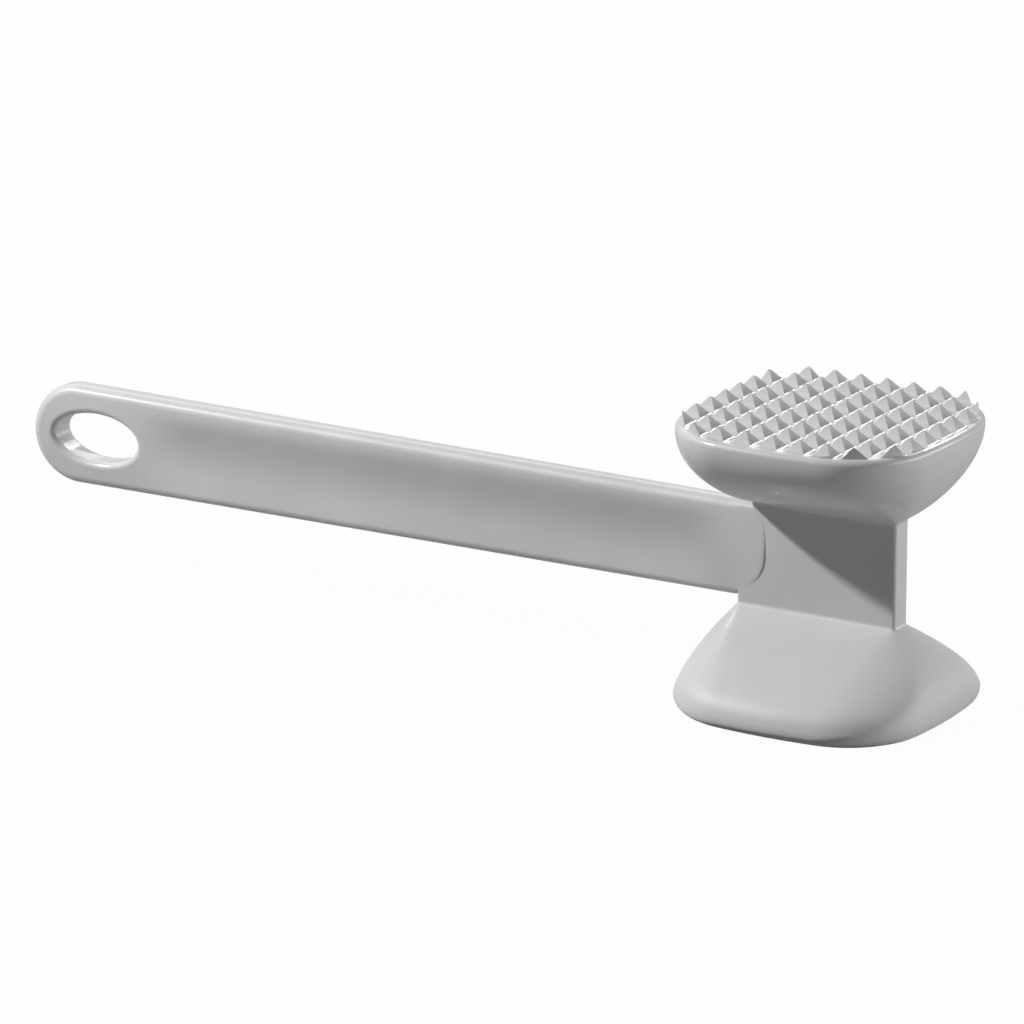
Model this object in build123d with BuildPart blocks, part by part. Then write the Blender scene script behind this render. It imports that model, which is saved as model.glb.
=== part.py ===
"""Cast aluminium meat tenderizer: a two-faced head on a flat neck, and a bar handle with a hanging eye.

The origin is the centre of the smooth striking face. +Z runs up through the head to the teeth, and the
handle runs along -X. Lengths are in millimetres. The tool is one casting, so its sections meet face to face.
"""

import os
from math import acos, atan2, cos, degrees, hypot, sin

from build123d import *

# Driving sizes of the head
face_width = 67.0
face_bulge = 3.5
face_corner_radius = 22.0
smooth_edge_radius = 3.6
face_land = 0.3
lower_flare_height = 18.4
neck_height = 26.4
upper_flare_height = 20.7
neck_front_x = 19.7
lower_neck_back_x = -23.2
upper_neck_back_x = -19.5
neck_thickness = 6.4
neck_corner_radius = 0.8
crease_radius = 1.3

# Driving sizes of the tooth field
tooth_pitch = 7.15
tooth_height = 2.8
tooth_tip_width = 0.5
tooth_valley_width = 2.0
tooth_valley_radius = 1.2
tooth_plate_thickness = 1.8
tooth_inset = 1.7
rim_edge_radius = 1.5

# Driving sizes of the handle
handle_reach = 227.6
handle_root_height = 24.0
handle_end_height = 25.8
handle_thickness = 8.4
handle_root_thickness = 7.4
handle_side_bulge = 1.2
handle_edge_radius = 2.6
handle_lift = 0.3
handle_root_overlap = 8.9
root_upper_radius = 6.0
root_lower_radius = 11.0
root_margin = 1.0
root_section_length = 22.0

# Driving sizes of the hanging eye
eye_section_length = 36.0
eye_end_wall = 6.7
eye_root_wall = 4.3
eye_height = 12.6
eye_edge_radius = 1.5

# How far cutting tools and trimmed blanks pass the faces they cut
overrun = 2.0

# How near an edge must lie to a level to be taken as part of it
tight = 0.05

# The flare's outline: share of the growth from neck to face at each share of its height above the neck
flare_step_shares = (0.0, 0.14, 0.36, 0.6, 0.8, 1.0)
upper_flare_power = 1.9
upper_flare_fullness = 0.8
lower_flare_power = 1.7
lower_flare_fullness = 1.0
lower_front_power = 1.35

# Heights of the head's levels above the smooth face
lower_rim_z = smooth_edge_radius + face_land
lower_neck_z = lower_rim_z + lower_flare_height
upper_neck_z = lower_neck_z + neck_height
upper_rim_z = upper_neck_z + upper_flare_height
tooth_valley_z = upper_rim_z + tooth_plate_thickness
tooth_tip_z = tooth_valley_z + tooth_height
handle_z = (lower_neck_z + upper_neck_z) / 2 + handle_lift

# Where the handle's parts lie along it
handle_root_x = lower_neck_back_x + handle_root_overlap
handle_end_radius = handle_end_height / 2
handle_end_x = handle_end_radius - handle_reach
eye_length = eye_section_length - eye_end_wall - eye_root_wall
eye_x = eye_end_wall + eye_length / 2 - handle_reach
handle_run = handle_root_x - handle_end_x
handle_rise = handle_root_height / 2
root_top = (handle_root_x, handle_z + handle_rise)
root_bottom = (handle_root_x, handle_z - handle_rise)
tangent_angle = atan2(handle_rise, handle_run) + acos(handle_end_radius / hypot(handle_run, handle_rise))
edge_half_thickness = handle_thickness / 2 - handle_side_bulge
handle_taper = degrees(atan2(handle_thickness - handle_root_thickness, 2 * (handle_reach + handle_root_x)))
blank_half_height = handle_end_height / 2 + overrun
eye_start_x = eye_section_length - handle_reach
root_end_x = lower_neck_back_x - root_section_length
neck_start_x = handle_root_x + root_margin

# The neck's plain part, between the creases
web_bottom_z = lower_neck_z + crease_radius
web_top_z = upper_neck_z - crease_radius


def flare_share(step_share, power, fullness):
    """Share of the neck-to-face growth reached at a share of the flare's height above the neck."""
    return (1 - (1 - step_share) ** power) ** fullness


def between(start, end, share):
    """The value that lies a share of the way from start to end."""
    return start + (end - start) * share


def side(start, middle, end, bulge):
    """One side of a rectangle: an arc if it bulges, else a straight line."""
    if bulge:
        ThreePointArc(start, middle, end)
    else:
        Line(start, end)


def bowed_rectangle(plane, half_x, half_y, bulge, corner_radius):
    """A rectangle with bowed sides and round corners, centred on a plane."""
    corner_x = half_x - bulge
    corner_y = half_y - bulge
    with BuildSketch(plane) as outline:
        with BuildLine():
            side((-corner_x, -corner_y), (0, -half_y), (corner_x, -corner_y), bulge)
            side((corner_x, -corner_y), (half_x, 0), (corner_x, corner_y), bulge)
            side((corner_x, corner_y), (0, half_y), (-corner_x, corner_y), bulge)
            side((-corner_x, corner_y), (-half_x, 0), (-corner_x, -corner_y), bulge)
        make_face()
        fillet(outline.vertices(), radius=corner_radius)
    return outline.sketch


def tangent_point(up):
    """Where a straight edge from the root touches the round end: on top if up is 1, below if -1."""
    return (
        handle_end_x + handle_end_radius * cos(tangent_angle),
        handle_z + up * handle_end_radius * sin(tangent_angle),
    )


def flare_section(z, back_x, share, front_share):
    """The head's outline at height z: shares run from 0 at a neck that starts at back_x to 1 at the face."""
    return bowed_rectangle(
        Plane((between((neck_front_x + back_x) / 2, 0, share), 0, z)),
        between(neck_front_x - back_x, face_width, share) / 2,
        between(neck_thickness, face_width, front_share) / 2,
        between(0, face_bulge, share),
        between(neck_corner_radius, face_corner_radius, share),
    )


with BuildPart() as upper_flare:
    for step_share in flare_step_shares:
        share = flare_share(step_share, upper_flare_power, upper_flare_fullness)
        add(flare_section(upper_neck_z + step_share * upper_flare_height, upper_neck_back_x, share, share))
    loft()

with BuildPart() as lower_flare:
    for step_share in flare_step_shares:
        z = lower_neck_z - step_share * lower_flare_height
        share = flare_share(step_share, lower_flare_power, lower_flare_fullness)
        front_share = flare_share(step_share, lower_front_power, lower_flare_fullness)
        add(flare_section(z, lower_neck_back_x, share, front_share))
    loft()

with BuildPart() as head:
    # The neck is a little longer below the handle than above it
    add(flare_section(lower_neck_z, lower_neck_back_x, 0, 0))
    extrude(amount=handle_z - lower_neck_z)
    add(flare_section(upper_neck_z, upper_neck_back_x, 0, 0))
    extrude(amount=handle_z - upper_neck_z)
    add(upper_flare.part)
    add(lower_flare.part)
    for crease_z in (lower_neck_z, upper_neck_z):
        creases = head.edges().filter_by_position(Axis.Z, crease_z - tight, crease_z + tight)
        fillet(creases, radius=crease_radius)

with BuildPart() as handle:
    # Side view: two straight edges that part a little towards the round end
    with BuildSketch(Plane.XZ) as side_view:
        with BuildLine():
            Line(root_bottom, tangent_point(-1))
            EllipticalCenterArc(
                (handle_end_x, handle_z),
                handle_end_radius,
                handle_end_radius,
                degrees(tangent_angle),
                arc_size=360 - 2 * degrees(tangent_angle),
            )
            Line(tangent_point(1), root_top)
            Line(root_top, root_bottom)
        make_face()
        fillet(side_view.vertices().group_by(Axis.X)[-1].sort_by(Axis.Y)[-1], radius=root_upper_radius)
        fillet(side_view.vertices().group_by(Axis.X)[-1].sort_by(Axis.Y)[0], radius=root_lower_radius)
    extrude(amount=handle_thickness, both=True)
    # End view: bowed sides
    with BuildSketch(Plane((-handle_reach - overrun, 0, handle_z), x_dir=(0, 1, 0), z_dir=(1, 0, 0))):
        with BuildLine():
            ThreePointArc(
                (edge_half_thickness, -blank_half_height),
                (handle_thickness / 2, 0),
                (edge_half_thickness, blank_half_height),
            )
            Line((edge_half_thickness, blank_half_height), (-edge_half_thickness, blank_half_height))
            ThreePointArc(
                (-edge_half_thickness, blank_half_height),
                (-handle_thickness / 2, 0),
                (-edge_half_thickness, -blank_half_height),
            )
            Line((-edge_half_thickness, -blank_half_height), (edge_half_thickness, -blank_half_height))
        make_face()
    extrude(amount=handle_reach + handle_root_x + 2 * overrun, taper=handle_taper, mode=Mode.INTERSECT)
    fillet(handle.edges().filter_by(Axis.Y, reverse=True), radius=handle_edge_radius)

# The neck and the handle in one
with BuildPart() as body:
    add(head.part)
    with Locations((0, 0, (web_bottom_z + web_top_z) / 2)):
        Box(2 * face_width, 2 * face_width, web_top_z - web_bottom_z, mode=Mode.INTERSECT)
    add(handle.part)

with BuildPart() as upper_head:
    add(head.part)
    with Locations((0, 0, (web_top_z + upper_rim_z) / 2)):
        Box(2 * face_width, 2 * face_width, upper_rim_z - web_top_z, mode=Mode.INTERSECT)
    add(handle.part, mode=Mode.SUBTRACT)

with BuildPart() as lower_head:
    add(head.part)
    with Locations((0, 0, (lower_rim_z + web_bottom_z) / 2)):
        Box(2 * face_width, 2 * face_width, web_bottom_z - lower_rim_z, mode=Mode.INTERSECT)

with BuildPart() as smooth_face:
    add(flare_section(lower_rim_z, lower_neck_back_x, 1, 1))
    extrude(amount=-lower_rim_z)
    fillet(smooth_face.faces().sort_by(Axis.Z)[0].edges(), radius=smooth_edge_radius)

with BuildPart() as toothed_face:
    add(flare_section(upper_rim_z, upper_neck_back_x, 1, 1))
    extrude(amount=tooth_plate_thickness)
    fillet(toothed_face.faces().sort_by(Axis.Z)[-1].edges(), radius=rim_edge_radius)
    add(offset(flare_section(tooth_valley_z, upper_neck_back_x, 1, 1), amount=-tooth_inset))
    extrude(amount=tooth_height)
    groove_count = 2 * round(face_width / tooth_pitch / 2 + 1 / 2)
    groove_top = (tooth_pitch - tooth_tip_width) / 2
    for groove_plane in (Plane.XZ, Plane.YZ):
        with BuildSketch(groove_plane) as grooves:
            with GridLocations(tooth_pitch, tooth_pitch, groove_count, 1):
                Polygon(
                    (-tooth_valley_width / 2, tooth_valley_z),
                    (tooth_valley_width / 2, tooth_valley_z),
                    (groove_top, tooth_tip_z),
                    (groove_top, tooth_tip_z + overrun),
                    (-groove_top, tooth_tip_z + overrun),
                    (-groove_top, tooth_tip_z),
                    align=None,
                )
            fillet(grooves.vertices().group_by(Axis.Y)[0], radius=tooth_valley_radius)
        extrude(amount=face_width, both=True, mode=Mode.SUBTRACT)


def body_section(start_x, end_x):
    """A box over the neck and handle that keeps what lies between two places along them."""
    with BuildPart() as keep:
        with Locations(((start_x + end_x) / 2, 0, handle_z)):
            Box(end_x - start_x, 2 * face_width, 2 * face_width)
    return keep.part


with BuildPart() as neck_web:
    add(body.part)
    add(body_section(neck_start_x, face_width), mode=Mode.INTERSECT)

with BuildPart() as handle_root:
    add(body.part)
    add(body_section(root_end_x, neck_start_x), mode=Mode.INTERSECT)

with BuildPart() as handle_grip:
    add(body.part)
    add(body_section(eye_start_x, root_end_x), mode=Mode.INTERSECT)

with BuildPart() as hanging_eye:
    add(body.part)
    add(body_section(-handle_reach - overrun, eye_start_x), mode=Mode.INTERSECT)
    with BuildSketch(Plane.XZ.offset(-handle_thickness)):
        with BuildLine():
            for start_angle in (0, 180):
                EllipticalCenterArc(
                    (eye_x, handle_z), eye_length / 2, eye_height / 2, start_angle, arc_size=180
                )
        make_face()
    extrude(amount=2 * handle_thickness, mode=Mode.SUBTRACT)
    eye_reach = eye_height / 2 + tight
    eye_rims = hanging_eye.edges().filter_by_position(Axis.X, eye_x - eye_reach, eye_x + eye_reach)
    eye_rims = eye_rims.filter_by_position(Axis.Z, handle_z - eye_reach, handle_z + eye_reach)
    fillet(eye_rims, radius=eye_edge_radius)

sections = {
    "toothed_face": toothed_face,
    "upper_head": upper_head,
    "neck_web": neck_web,
    "lower_head": lower_head,
    "smooth_face": smooth_face,
    "handle_root": handle_root,
    "handle_grip": handle_grip,
    "hanging_eye": hanging_eye,
}

os.makedirs("parts", exist_ok=True)
for section_name, section in sections.items():
    section.part.label = section_name
    export_step(section.part, f"parts/{section_name}.step")
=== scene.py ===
"""A cast aluminium meat tenderizer, set on a pale studio floor and seen from its front right."""

import math

import bpy
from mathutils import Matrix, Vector

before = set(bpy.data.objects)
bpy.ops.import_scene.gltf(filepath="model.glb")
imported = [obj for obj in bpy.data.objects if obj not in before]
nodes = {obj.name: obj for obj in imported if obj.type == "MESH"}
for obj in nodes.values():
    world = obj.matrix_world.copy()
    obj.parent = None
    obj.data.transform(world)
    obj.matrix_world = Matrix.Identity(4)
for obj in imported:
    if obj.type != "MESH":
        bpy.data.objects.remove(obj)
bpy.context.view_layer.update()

# The camera: angles in degrees, distances in metres, lens and sensor in millimetres
VIEW_AZIMUTH = 30.82
VIEW_ELEVATION = 16.80
VIEW_DISTANCE = 1.728
VIEW_TARGET = Vector((-0.0880, 0.0, 0.0342))
LENS_MM = 248.06
SENSOR_MM = 36.0
NEAR_CLIP, FAR_CLIP = 0.05, 50.0

HEAD_CENTRE = Vector((0.0, 0.0, 0.036))
TOOL_CENTRE = Vector((-0.08, 0.0, 0.036))

# Studio lamps: name, direction from the tool, aim, distance, width and height in metres, watts
LAMPS = (
    ("key", (-0.85, -0.50, 0.735), HEAD_CENTRE, 1.6, 0.08, 0.08, 28.5),
    ("right_back", (0.85, 0.42, 0.17), HEAD_CENTRE, 1.4, 1.80, 0.48, 14.5),
    ("right_high", (0.90, 0.10, 0.50), HEAD_CENTRE, 1.4, 1.20, 0.80, 1.6),
    ("left_back", (-0.60, 0.60, 0.60), TOOL_CENTRE, 1.2, 1.00, 0.60, 3.1),
    ("back_top", (-0.15, 0.82, 0.55), HEAD_CENTRE, 1.2, 0.36, 0.14, 3.5),
)

# The floor, and the studio's greys from the front of the tool to its back
FLOOR_REACH = 6.0
FLOOR_GREY = 0.31
FLOOR_ROUGHNESS = 0.95
FLOOR_WHITE_SHARE = 0.975
ROOM_GREYS = ((0.0, 0.03), (0.3, 0.10), (1.0, 0.35))

# The metal all over
METALLIC = 0.06
SPECULAR_LEVEL = 0.15
SKIN_ROUGHNESS = 0.15
BUMP_STRENGTH = 1.0
BUMP_DEPTH = 0.0004

# The metal from place to place: noises as waves to the metre and detail, and the span of each effect
CLOUD_NOISE, CLOUD_BAND, CLOUD_GREYS = (40.0, 3.0), (0.3, 0.7), (0.556, 0.576)
POLISH_NOISE, POLISH_ROUGHNESS = (70.0, 4.0), (0.50, 0.60)
WAVE_NOISE = (55.0, 1.0)
GRAIN_NOISE, GRAIN_SHARE = (1500.0, 2.0), 0.012
SKIN_WEIGHTS = (0.0, 0.6)
# Painted shading on the handle's sides: lighter low down, darker high up
HANDLE_PAINTED_SHADING = (0.17, -0.26)
TIP_CHANGES = (0.0, -0.10)
NECK_KEEPS_ALONG = (1.0, 0.15)
NECK_KEEPS_UP = (1.0, 0.4)
SLOPE_KEEPS_UP = (0.45, 1.0)
PAD_LIFTS = (0.0, 0.26)
WHOLE = (0.0, 1.0)
FADE_IN = (0.0, 1.0)
FADE_OUT = (1.0, 0.0)

# Bands in metres along the tool (X) or up it (Z), over which those effects come and go
EYE_X = (-0.2000, -0.1800)
ROOT_X = (-0.0400, -0.0240)
NECK_BACK_X = (-0.0260, -0.0215)
NECK_FRONT_X = (0.0150, 0.0170)
PAD_SIDE_Z = (0.0005, 0.0039)
PAD_TOP_Z = 0.00391
SLOPE_FOOT_Z = (0.0039, 0.0095)
WORN_Z = (0.0080, 0.0200)
NECK_FOOT_Z = (0.0240, 0.0255)
NECK_TOP_Z = (0.0460, 0.0475)
HANDLE_SIDE_Z = (0.0270, 0.0425)
HANDLE_EDGE_Z = (0.0425, 0.0465)
TOOTH_Z = (0.0712, 0.0732)


def unit_from_angles(azimuth, elevation):
    """The direction from the object towards a place at these angles in degrees."""
    a, e = math.radians(azimuth), math.radians(elevation)
    return Vector((math.sin(a) * math.cos(e), -math.cos(a) * math.cos(e), math.sin(e)))


def add_aimed(name, data, aim, back, distance):
    """Puts a camera or a lamp at a distance from its aim, and turns it to look there."""
    thing = bpy.data.objects.new(name, data)
    thing.location = aim + back * distance
    thing.rotation_mode = "QUATERNION"
    thing.rotation_quaternion = (-back).to_track_quat("-Z", "Y")
    bpy.context.scene.collection.objects.link(thing)
    return thing


def add_camera():
    """The camera, at the photograph's angle."""
    data = bpy.data.cameras.new("camera")
    data.lens = LENS_MM
    data.sensor_width = SENSOR_MM
    data.clip_start, data.clip_end = NEAR_CLIP, FAR_CLIP
    back = unit_from_angles(VIEW_AZIMUTH, VIEW_ELEVATION)
    bpy.context.scene.camera = add_aimed("camera", data, VIEW_TARGET, back, VIEW_DISTANCE)


def add_lamp(name, direction, aim, distance, width, height, watts):
    """A rectangular studio lamp that looks at its aim."""
    data = bpy.data.lights.new(name, "AREA")
    data.shape = "RECTANGLE"
    data.size, data.size_y = width, height
    data.energy = watts
    add_aimed(name, data, aim, Vector(direction).normalized(), distance)


def grey(value):
    """An opaque grey from 0 to 1."""
    return (value, value, value, 1.0)


def add_floor():
    """A pale paper floor: near white to the camera, and a middle grey to the metal above it."""
    mesh = bpy.data.meshes.new("floor")
    corners = [(x * FLOOR_REACH, y * FLOOR_REACH, 0) for x, y in ((-1, -1), (1, -1), (1, 1), (-1, 1))]
    mesh.from_pydata(corners, [], [(0, 1, 2, 3)])
    floor = bpy.data.objects.new("floor", mesh)
    bpy.context.scene.collection.objects.link(floor)
    material = bpy.data.materials.new("floor_paper")
    material.use_nodes = True
    tree = material.node_tree
    out = tree.nodes["Material Output"]
    shader = tree.nodes["Principled BSDF"]
    shader.inputs["Base Color"].default_value = grey(FLOOR_GREY)
    shader.inputs["Roughness"].default_value = FLOOR_ROUGHNESS
    shader.inputs["Specular IOR Level"].default_value = 0.0
    glow = tree.nodes.new("ShaderNodeEmission")
    glow.inputs["Color"].default_value = grey(1.0)
    glow.inputs["Strength"].default_value = 1.0
    path = tree.nodes.new("ShaderNodeLightPath")
    mix = tree.nodes.new("ShaderNodeMixShader")
    white = math_node(tree, "MULTIPLY", path.outputs["Is Camera Ray"], FLOOR_WHITE_SHARE)
    tree.links.new(white, mix.inputs["Fac"])
    tree.links.new(shader.outputs["BSDF"], mix.inputs[1])
    tree.links.new(glow.outputs["Emission"], mix.inputs[2])
    tree.links.new(mix.outputs["Shader"], out.inputs["Surface"])
    mesh.materials.append(material)


def set_ramp(ramp, stops):
    """Gives a colour ramp its stops, each a place and a grey."""
    elements = ramp.color_ramp.elements
    while len(elements) < len(stops):
        elements.new(0.5)
    for element, (place, value) in zip(elements, stops):
        element.position = place
        element.color = grey(value)


def room_surround():
    """White to the camera, and to the metal a dark studio that is lighter behind the tool."""
    world = bpy.data.worlds.new("surround")
    bpy.context.scene.world = world
    world.use_nodes = True
    tree = world.node_tree
    tree.nodes.clear()
    out = tree.nodes.new("ShaderNodeOutputWorld")
    mix = tree.nodes.new("ShaderNodeMixShader")
    path = tree.nodes.new("ShaderNodeLightPath")
    seen = tree.nodes.new("ShaderNodeBackground")
    room = tree.nodes.new("ShaderNodeBackground")
    coords = tree.nodes.new("ShaderNodeTexCoord")
    ramp = tree.nodes.new("ShaderNodeValToRGB")
    set_ramp(ramp, ROOM_GREYS)
    seen.inputs["Color"].default_value = grey(1.0)
    tree.links.new(split(tree, coords.outputs["Generated"])["Y"], ramp.inputs["Fac"])
    tree.links.new(ramp.outputs["Color"], room.inputs["Color"])
    tree.links.new(path.outputs["Is Camera Ray"], mix.inputs["Fac"])
    tree.links.new(room.outputs["Background"], mix.inputs[1])
    tree.links.new(seen.outputs["Background"], mix.inputs[2])
    tree.links.new(mix.outputs["Shader"], out.inputs["Surface"])


def new_group(name, output, kind):
    """An empty shader group with a Vector input and one output. Gives the group and its two ends."""
    group = bpy.data.node_groups.new(name, "ShaderNodeTree")
    group.interface.new_socket("Vector", in_out="INPUT", socket_type="NodeSocketVector")
    group.interface.new_socket(output, in_out="OUTPUT", socket_type=kind)
    start = group.nodes.new("NodeGroupInput").outputs["Vector"]
    end = group.nodes.new("NodeGroupOutput").inputs[output]
    return group, start, end


def split(tree, vector):
    """The X, Y and Z of a vector."""
    node = tree.nodes.new("ShaderNodeSeparateXYZ")
    tree.links.new(vector, node.inputs["Vector"])
    return node.outputs


def math_node(tree, operation, *values):
    """One sum on values, each a socket or a plain number."""
    node = tree.nodes.new("ShaderNodeMath")
    node.operation = operation
    for place, value in zip(node.inputs, values):
        if isinstance(value, float):
            place.default_value = value
        else:
            tree.links.new(value, place)
    return node.outputs["Value"]


def product(tree, first, *others):
    """The product of several values."""
    for value in others:
        first = math_node(tree, "MULTIPLY", first, value)
    return first


def spread(tree, value, band, ends, easing="SMOOTHSTEP"):
    """Runs from one end to the other while the value runs over the band."""
    node = tree.nodes.new("ShaderNodeMapRange")
    node.interpolation_type = easing
    for name, number in zip(("From Min", "From Max", "To Min", "To Max"), band + ends):
        node.inputs[name].default_value = number
    tree.links.new(value, node.inputs["Value"])
    return node.outputs["Result"]


def add_noise(group, vector, scale, detail):
    """A noise of so many waves to the metre. Gives its grey value."""
    noise = group.nodes.new("ShaderNodeTexNoise")
    noise.inputs["Scale"].default_value = scale
    noise.inputs["Detail"].default_value = detail
    group.links.new(vector, noise.inputs["Vector"])
    return noise.outputs["Fac"]


def cast_tone_and_painted_shade():
    """The metal's grey: faint clouds, painted shading on the handle's sides (darker above and lighter
    below, standing in for the dark room and the bright floor they face), and darker tips to the teeth.
    """
    group, start, end = new_group("cast_tone_and_painted_shade", "Color", "NodeSocketColor")
    where = split(group, start)
    # Painted shading: the handle's sides are made lighter below and darker above, as if lit by the floor
    # and shaded by the room
    handle = product(
        group,
        spread(group, where["Z"], HANDLE_SIDE_Z, HANDLE_PAINTED_SHADING),
        spread(group, where["Z"], HANDLE_EDGE_Z, FADE_OUT),
        spread(group, where["X"], EYE_X, FADE_IN),
        spread(group, where["X"], ROOT_X, FADE_OUT),
    )
    change = math_node(group, "ADD", handle, spread(group, where["Z"], TOOTH_Z, TIP_CHANGES))
    clouds = spread(group, add_noise(group, start, *CLOUD_NOISE), CLOUD_BAND, CLOUD_GREYS)
    group.links.new(math_node(group, "MULTIPLY_ADD", change, clouds, clouds), end)
    return group


def tumbled_polish():
    """How rough the polish is from place to place."""
    group, start, end = new_group("tumbled_polish", "Roughness", "NodeSocketFloat")
    noise = add_noise(group, start, *POLISH_NOISE)
    group.links.new(spread(group, noise, WHOLE, POLISH_ROUGHNESS, "LINEAR"), end)
    return group


def hand_finish():
    """The height of the finished skin: slow waves from hand polishing and a fine grain."""
    group, start, end = new_group("hand_finish", "Height", "NodeSocketFloat")
    waves = add_noise(group, start, *WAVE_NOISE)
    grain = add_noise(group, start, *GRAIN_NOISE)
    group.links.new(math_node(group, "MULTIPLY_ADD", grain, GRAIN_SHARE, waves), end)
    return group


def soft_joins():
    """Normals that ease over the pad's upper edge and the handle's end on the neck, as a casting does."""
    group, start, end = new_group("soft_joins", "Normal", "NodeSocketVector")
    shape = group.nodes.new("ShaderNodeNewGeometry")
    where = split(group, start)
    facing = split(group, shape.outputs["Normal"])
    across = facing["Y"]

    # On the neck, the handle's end turns less along the tool and less up or down
    on_neck = product(
        group,
        spread(group, where["X"], NECK_BACK_X, FADE_IN),
        spread(group, where["X"], NECK_FRONT_X, FADE_OUT),
        spread(group, where["Z"], NECK_FOOT_Z, FADE_IN),
        spread(group, where["Z"], NECK_TOP_Z, FADE_OUT),
    )
    along = product(group, facing["X"], spread(group, on_neck, WHOLE, NECK_KEEPS_ALONG))
    flatter = product(
        group,
        facing["Z"],
        spread(group, on_neck, WHOLE, NECK_KEEPS_UP),
        spread(group, where["Z"], SLOPE_FOOT_Z, SLOPE_KEEPS_UP),
    )

    # Below its upper edge, the pad's front and back turn up to meet the slope above
    on_pad = math_node(group, "LESS_THAN", where["Z"], PAD_TOP_Z)
    lift = product(group, on_pad, spread(group, where["Z"], PAD_SIDE_Z, PAD_LIFTS), across, across)

    joined = group.nodes.new("ShaderNodeCombineXYZ")
    unit = group.nodes.new("ShaderNodeVectorMath")
    unit.operation = "NORMALIZE"
    group.links.new(along, joined.inputs["X"])
    group.links.new(across, joined.inputs["Y"])
    group.links.new(math_node(group, "ADD", flatter, lift), joined.inputs["Z"])
    group.links.new(joined.outputs["Vector"], unit.inputs[0])
    group.links.new(unit.outputs["Vector"], end)
    return group


def worn_skin():
    """How much glossy skin is left: none near the smooth face, where use has rubbed it dull."""
    group, start, end = new_group("worn_skin", "Coat Weight", "NodeSocketFloat")
    group.links.new(spread(group, split(group, start)["Z"], WORN_Z, SKIN_WEIGHTS), end)
    return group


def cast_metal():
    """Satin cast aluminium under a thin glossy skin."""
    material = bpy.data.materials.new("satin_cast_aluminium")
    material.use_nodes = True
    tree = material.node_tree
    shader = tree.nodes["Principled BSDF"]
    shader.inputs["Metallic"].default_value = METALLIC
    shader.inputs["Coat Roughness"].default_value = SKIN_ROUGHNESS
    shader.inputs["Specular IOR Level"].default_value = SPECULAR_LEVEL
    coords = tree.nodes.new("ShaderNodeTexCoord")
    bump = tree.nodes.new("ShaderNodeBump")
    bump.inputs["Strength"].default_value = BUMP_STRENGTH
    bump.inputs["Distance"].default_value = BUMP_DEPTH
    places = (
        (cast_tone_and_painted_shade(), shader.inputs["Base Color"]),
        (tumbled_polish(), shader.inputs["Roughness"]),
        (hand_finish(), bump.inputs["Height"]),
        (soft_joins(), bump.inputs["Normal"]),
        (worn_skin(), shader.inputs["Coat Weight"]),
    )
    for group, place in places:
        node = tree.nodes.new("ShaderNodeGroup")
        node.node_tree = group
        tree.links.new(coords.outputs["Object"], node.inputs["Vector"])
        tree.links.new(node.outputs[0], place)
    tree.links.new(bump.outputs["Normal"], shader.inputs["Normal"])
    return material


metal = cast_metal()
for node in nodes.values():
    node.data.materials.clear()
    node.data.materials.append(metal)

add_floor()
room_surround()
for lamp in LAMPS:
    add_lamp(*lamp)
add_camera()
bpy.context.scene.view_settings.view_transform = "Standard"
